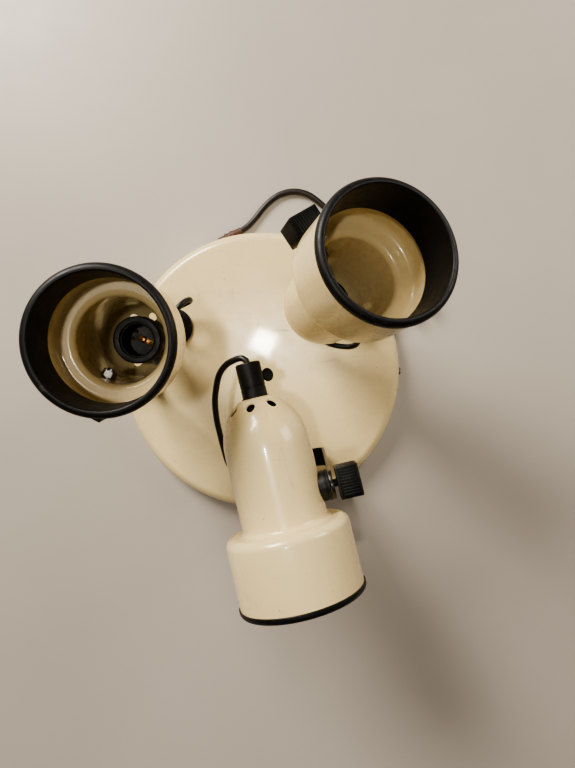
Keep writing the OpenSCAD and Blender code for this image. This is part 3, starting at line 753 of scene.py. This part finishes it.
ring_r = 50.6 * mm
cone_depth = 35.5 * mm
cone_r = 43.8 * mm
ring = turned("ring", [
    (front_r + 0.02 * mm, mouth_z - 5.8 * mm), (ring_r - 0.25 * mm, mouth_z - 5.8 * mm),
    (ring_r, mouth_z - 5.5 * mm),
    *rounded(ring_r - 4.2 * mm, mouth_z - 4.2 * mm, 4.2 * mm, 0, 90, 12),
    *rounded(ring_r - 4.4 * mm, mouth_z - 1.2 * mm, 1.2 * mm, 90, 172, 6),
    (ring_r - 5.85 * mm, mouth_z - 5 * mm), (ring_r - 6.1 * mm, mouth_z - 14 * mm),
    (cone_r + 0.05 * mm, mouth_z - cone_depth + 1 * mm),
    *rounded(cone_r + 0.5 * mm, mouth_z - cone_depth + 0.5 * mm, 0.5 * mm, 180, 360, 6),
    (ring_r - 4.6 * mm, mouth_z - 14 * mm), (ring_r - 4.2 * mm, mouth_z - 9 * mm),
    (front_r - 1.3 * mm, mouth_z - 7 * mm), (front_r - 1.3 * mm, mouth_z - 4.6 * mm),
    (front_r + 0.02 * mm, mouth_z - 4.6 * mm)],
    closed=True, steps=128)
hand_over(ring, "mouth_ring", head_place, "head", black_plastic,
          "baffle_ring")

# ---- Lampholders ----
# A black moulded holder deep in each shade, with a rolled brass thread for the lamp's cap
# and a sprung contact on its floor, held by two small rivets.

holder_z = mouth_z - 117.5 * mm
holder_r = 20 * mm
thread_r = 13.15 * mm
thread_top = holder_z - 3.5 * mm
thread_low = thread_top - 21 * mm
floor_z = thread_low - 5 * mm
holder = turned("holder", [
    (14.6 * mm, holder_z - 0.4 * mm),
    *rounded(15.2 * mm, holder_z - 0.6 * mm, 0.6 * mm, 180, 90, 4),
    *rounded(holder_r - 1.2 * mm, holder_z - 1.2 * mm, 1.2 * mm, 90, 0, 5),
    (holder_r, holder_z - 8 * mm), (holder_r - 0.5 * mm, holder_z - 8.5 * mm),
    (holder_r - 0.5 * mm, holder_z - 9.8 * mm), (holder_r, holder_z - 10.3 * mm),
    (holder_r, holder_z - 23 * mm), (holder_r - 2.5 * mm, holder_z - 25 * mm),
    (16.5 * mm, holder_z - 36 * mm), (13 * mm, holder_z - 40 * mm),
    (8 * mm, holder_z - 42 * mm), (8 * mm, rear_z + sheet), (bore_r, rear_z + sheet),
    (bore_r, floor_z - 3 * mm), (0, floor_z - 3 * mm), (0, floor_z),
    (thread_r + 0.75 * mm, floor_z), (thread_r + 0.75 * mm, thread_top), (14.6 * mm, thread_top)])
thread_rows = 42
thread_pitch = 3.6 * mm
wave_r = 0.3 * mm           # how far the rolled thread goes in and out
thread = turned("thread", [
    (thread_r + 0.3 * mm, thread_low + (thread_top - thread_low) * n / thread_rows)
    for n in range(thread_rows + 1)], steps=72, sharp=60)
for vertex in thread.data.vertices:
    turn = math.atan2(vertex.co.y, vertex.co.x)
    wave = wave_r * math.cos(2 * math.pi * vertex.co.z / thread_pitch - turn)
    radius = thread_r + 0.32 * mm + wave
    vertex.co.x, vertex.co.y = radius * math.cos(turn), radius * math.sin(turn)
shell = thread.modifiers.new("thickness", "SOLIDIFY")
shell.thickness = 0.12 * mm
shell.offset = -1
apply_modifiers(thread)
spring = block((-9 * mm, -2.5 * mm, floor_z), (5 * mm, 2.5 * mm, floor_z + 0.8 * mm))
button = turned("button", [
    (0, floor_z + 3 * mm), (1.6 * mm, floor_z + 2.8 * mm), (2.6 * mm, floor_z + 1.8 * mm),
    (3 * mm, floor_z + 0.7 * mm), (0, floor_z + 0.7 * mm)], steps=32)
rivets = []
for x, y in ((-7, 0), (8.6, 3.5), (8.6, -3.5)):
    rivet = turned("rivet", [(0, floor_z + 1.7 * mm), (0.9 * mm, floor_z + 1.5 * mm),
                             (1.5 * mm, floor_z + 0.9 * mm), (1.5 * mm, floor_z),
                             (0, floor_z)], steps=20)
    rivet.data.transform(Matrix.Translation((x * mm, y * mm, 0)))
    rivets.append(rivet)
contact = joined("contact", spring, button, *rivets)
round_edges(contact, 0.2 * mm, segments=2)
hand_over(holder, "holder_moulding", head_place, "head", black_plastic,
          "lampholder")
hand_over(thread, "rolled_thread", head_place, "head", brass, "thread_shell")
hand_over(contact, "spring_contact", head_place, "head", brass, "contact_tongue")

# ---- Cord grips and thumbscrews ----
# A black moulded grip clamps each shade to its lampholder and lets the flex out behind. Its
# thumbscrew has a round flat paddle.

grip_r = 10 * mm
grip_len = 28.6 * mm
grip_end = rear_z - grip_len
screw_z = rear_z - 0.59 * grip_len
screw_turn = Matrix.Rotation(math.radians(-40), 4, "Z")
to_screw = screw_turn @ to_y
grip = turned("grip", [
    (bore_r, rear_z - 0.02 * mm), (grip_r + 0.8 * mm, rear_z - 0.02 * mm),
    (grip_r + 1 * mm, rear_z - 0.2 * mm), (grip_r + 1 * mm, rear_z - 0.9 * mm),
    (grip_r + 0.7 * mm, rear_z - 1.1 * mm), (grip_r + 0.15 * mm, rear_z - 1.2 * mm),
    (grip_r, rear_z - 1.6 * mm),
    (grip_r, rear_z - 8 * mm), (grip_r - 0.35 * mm, rear_z - 8.3 * mm),
    (grip_r - 0.35 * mm, rear_z - 9.1 * mm), (grip_r, rear_z - 9.4 * mm),
    *rounded(grip_r - 1.2 * mm, grip_end + 1.2 * mm, 1.2 * mm, 0, -90, 5),
    (4.2 * mm, grip_end), (3.1 * mm, grip_end + 1 * mm), (3.1 * mm, rear_z - 9.2 * mm),
    (bore_r, rear_z - 9.2 * mm)], closed=True, steps=72)
cut_away(grip, rod(2.05 * mm, 0, grip_r + 3 * mm,
                   Matrix.Translation((0, 0, screw_z)) @ to_screw, vertices=32))
round_edges(grip, 0.2 * mm, segments=2, angle=60)

shank = turned("shank", [
    (0, 3.1 * mm), (1.6 * mm, 3.1 * mm), (2 * mm, 3.6 * mm), (2 * mm, grip_r + 0.4 * mm),
    (3 * mm, grip_r + 0.5 * mm), (3.2 * mm, grip_r + 0.9 * mm), (2.6 * mm, grip_r + 1.3 * mm),
    (1.6 * mm, grip_r + 4 * mm), (0, grip_r + 4 * mm)], steps=40)
shank.data.transform(to_screw)
paddle = turned("paddle", [
    (0, -0.8 * mm), (4 * mm, -0.8 * mm), *rounded(4.55 * mm, 0, 1.05 * mm, -80, 80, 8),
    (4 * mm, 0.8 * mm), (0, 0.8 * mm)], steps=48)
paddle.data.transform(screw_turn @ Matrix.Translation((0, grip_r + 6.9 * mm, 0)) @ along_x)
thumbscrew = joined("thumbscrew", shank, paddle)
thumbscrew.data.transform(Matrix.Translation((0, 0, screw_z)))
hand_over(grip, "grip_moulding", head_place, "head", black_plastic,
          "cord_grip")
hand_over(thumbscrew, "paddle_screw", head_place, "grip_screw", black_plastic,
          "thumbscrew")

# ---- Tilt hinges ----
# A black round boss stands on the side of each shade, the strap lies against it, and a
# square black knob on the hinge bolt clamps the two together.

boss_end = 41.2 * mm
boss = turned("boss", [
    (bolt_hole_r, 22 * mm), (12.1 * mm, 22 * mm), (12.1 * mm, 37.6 * mm),
    (11.6 * mm, 37.9 * mm), (11.6 * mm, 38.6 * mm), (12.5 * mm, 39 * mm),
    *rounded(12 * mm, boss_end - 0.5 * mm, 0.5 * mm, 0, 90, 4),
    (bolt_hole_r, boss_end)], closed=True, steps=72)
boss.data.transform(to_y)
cut_away(boss, rod(body_r + 0.02 * mm, -25 * mm, 25 * mm, vertices=128))
round_edges(boss, 0.2 * mm, segments=2, angle=60)

knob_in = 44.3 * mm
knob_out = 64.9 * mm
knob_half = 12.5 * mm
knob = block((-knob_half, knob_in + 3.4 * mm, -knob_half), (knob_half, knob_out, knob_half))
for polygon in knob.data.polygons:
    polygon.select = polygon.normal.y > 0.9
bpy.context.view_layer.objects.active = knob
bpy.ops.object.mode_set(mode="EDIT")
bpy.ops.mesh.select_mode(type="FACE")
bpy.ops.mesh.inset(thickness=2.2 * mm)
bpy.ops.mesh.extrude_region_move(TRANSFORM_OT_translate={"value": (0, -0.8 * mm, 0)})
deselect_mesh()
bpy.ops.object.mode_set(mode="OBJECT")
bpy.ops.object.select_all(action="DESELECT")
cut_away(knob, rod(bolt_hole_r, knob_in - 3 * mm, knob_in + 17 * mm, to_y))
round_edges(knob, 0.7 * mm, segments=3, angle=50)
collar = turned("collar", [
    (bolt_hole_r, knob_in), (11.6 * mm, knob_in), (12 * mm, knob_in + 0.4 * mm),
    (12 * mm, knob_in + 2.2 * mm), (11.5 * mm, knob_in + 2.6 * mm),
    (11.5 * mm, knob_in + 3.6 * mm), (bolt_hole_r, knob_in + 3.6 * mm)], closed=True,
    steps=64)
collar.data.transform(to_y)
ridge_pitch = 2.3 * mm
ridge_half = 0.5 * mm
ridges = []
for side in range(4):
    for n in range(-4, 5):
        middle = n * ridge_pitch
        ridge = block((middle - ridge_half, knob_in + 5.4 * mm, knob_half - 0.4 * mm),
                      (middle + ridge_half, knob_out - 2.4 * mm, knob_half + 0.22 * mm))
        round_edges(ridge, 0.2 * mm, segments=2)
        ridge.data.transform(Matrix.Rotation(side * math.pi / 2, 4, "Y"))
        ridges.append(ridge)
knob = joined("knob", knob, collar, *ridges)
hand_over(boss, "boss", head_place, "head", black_plastic, "hinge_boss")
hand_over(knob, "square_knob", head_place, "knob", black_plastic,
          "clamp_knob")

# ---- Floor and light ----
# A plain pale grey floor. A large soft lamp lights it from the upper left, with a weaker one
# on the right, a small one overhead and a dim warm room around them.

bpy.ops.mesh.primitive_plane_add(size=6, location=(0, 0, -0.3 * mm))
ground = bpy.context.object
ground.name = "studio_floor"
ground.data.materials.append(finish(
    "floor_paint", (186, 178, 168), (178, 169, 158), patch=3, rough=0.42, spread=0.1,
    specks=0.0, scratches=0.0, grain=180, grain_depth=0.1))


def lamp(name, place, aim, size, power, colour):
    """A square soft lamp at a place, aimed at a point."""
    data = bpy.data.lights.new(name, "AREA")
    data.size = size
    data.energy = power
    data.color = colour
    light = bpy.data.objects.new(name, data)
    light.location = place
    light.rotation_euler = (Vector(aim) - Vector(place)).to_track_quat("-Z", "Y").to_euler()
    bpy.context.scene.collection.objects.link(light)


lamp("overhead", (-0.13, 0.07, 2.3), (0, 0, 0), 0.1, 11, (1.0, 0.93, 0.82))
lamp("left_window", (-1.1, 1.4, 1.3), (0, 0, 0.1), 0.8, 72, (1.0, 0.94, 0.85))
lamp("right_window", (1.6, 0.9, 0.95), (0, 0, 0.1), 0.8, 16, (1.0, 0.94, 0.85))
room = bpy.data.worlds.new("dim_room")
room.use_nodes = True
backdrop = room.node_tree.nodes["Background"]
backdrop.inputs["Color"].default_value = (0.82, 0.74, 0.62, 1)
backdrop.inputs["Strength"].default_value = 0.1
bpy.context.scene.view_settings.look = "AgX - Medium High Contrast"
bpy.context.scene.world = room
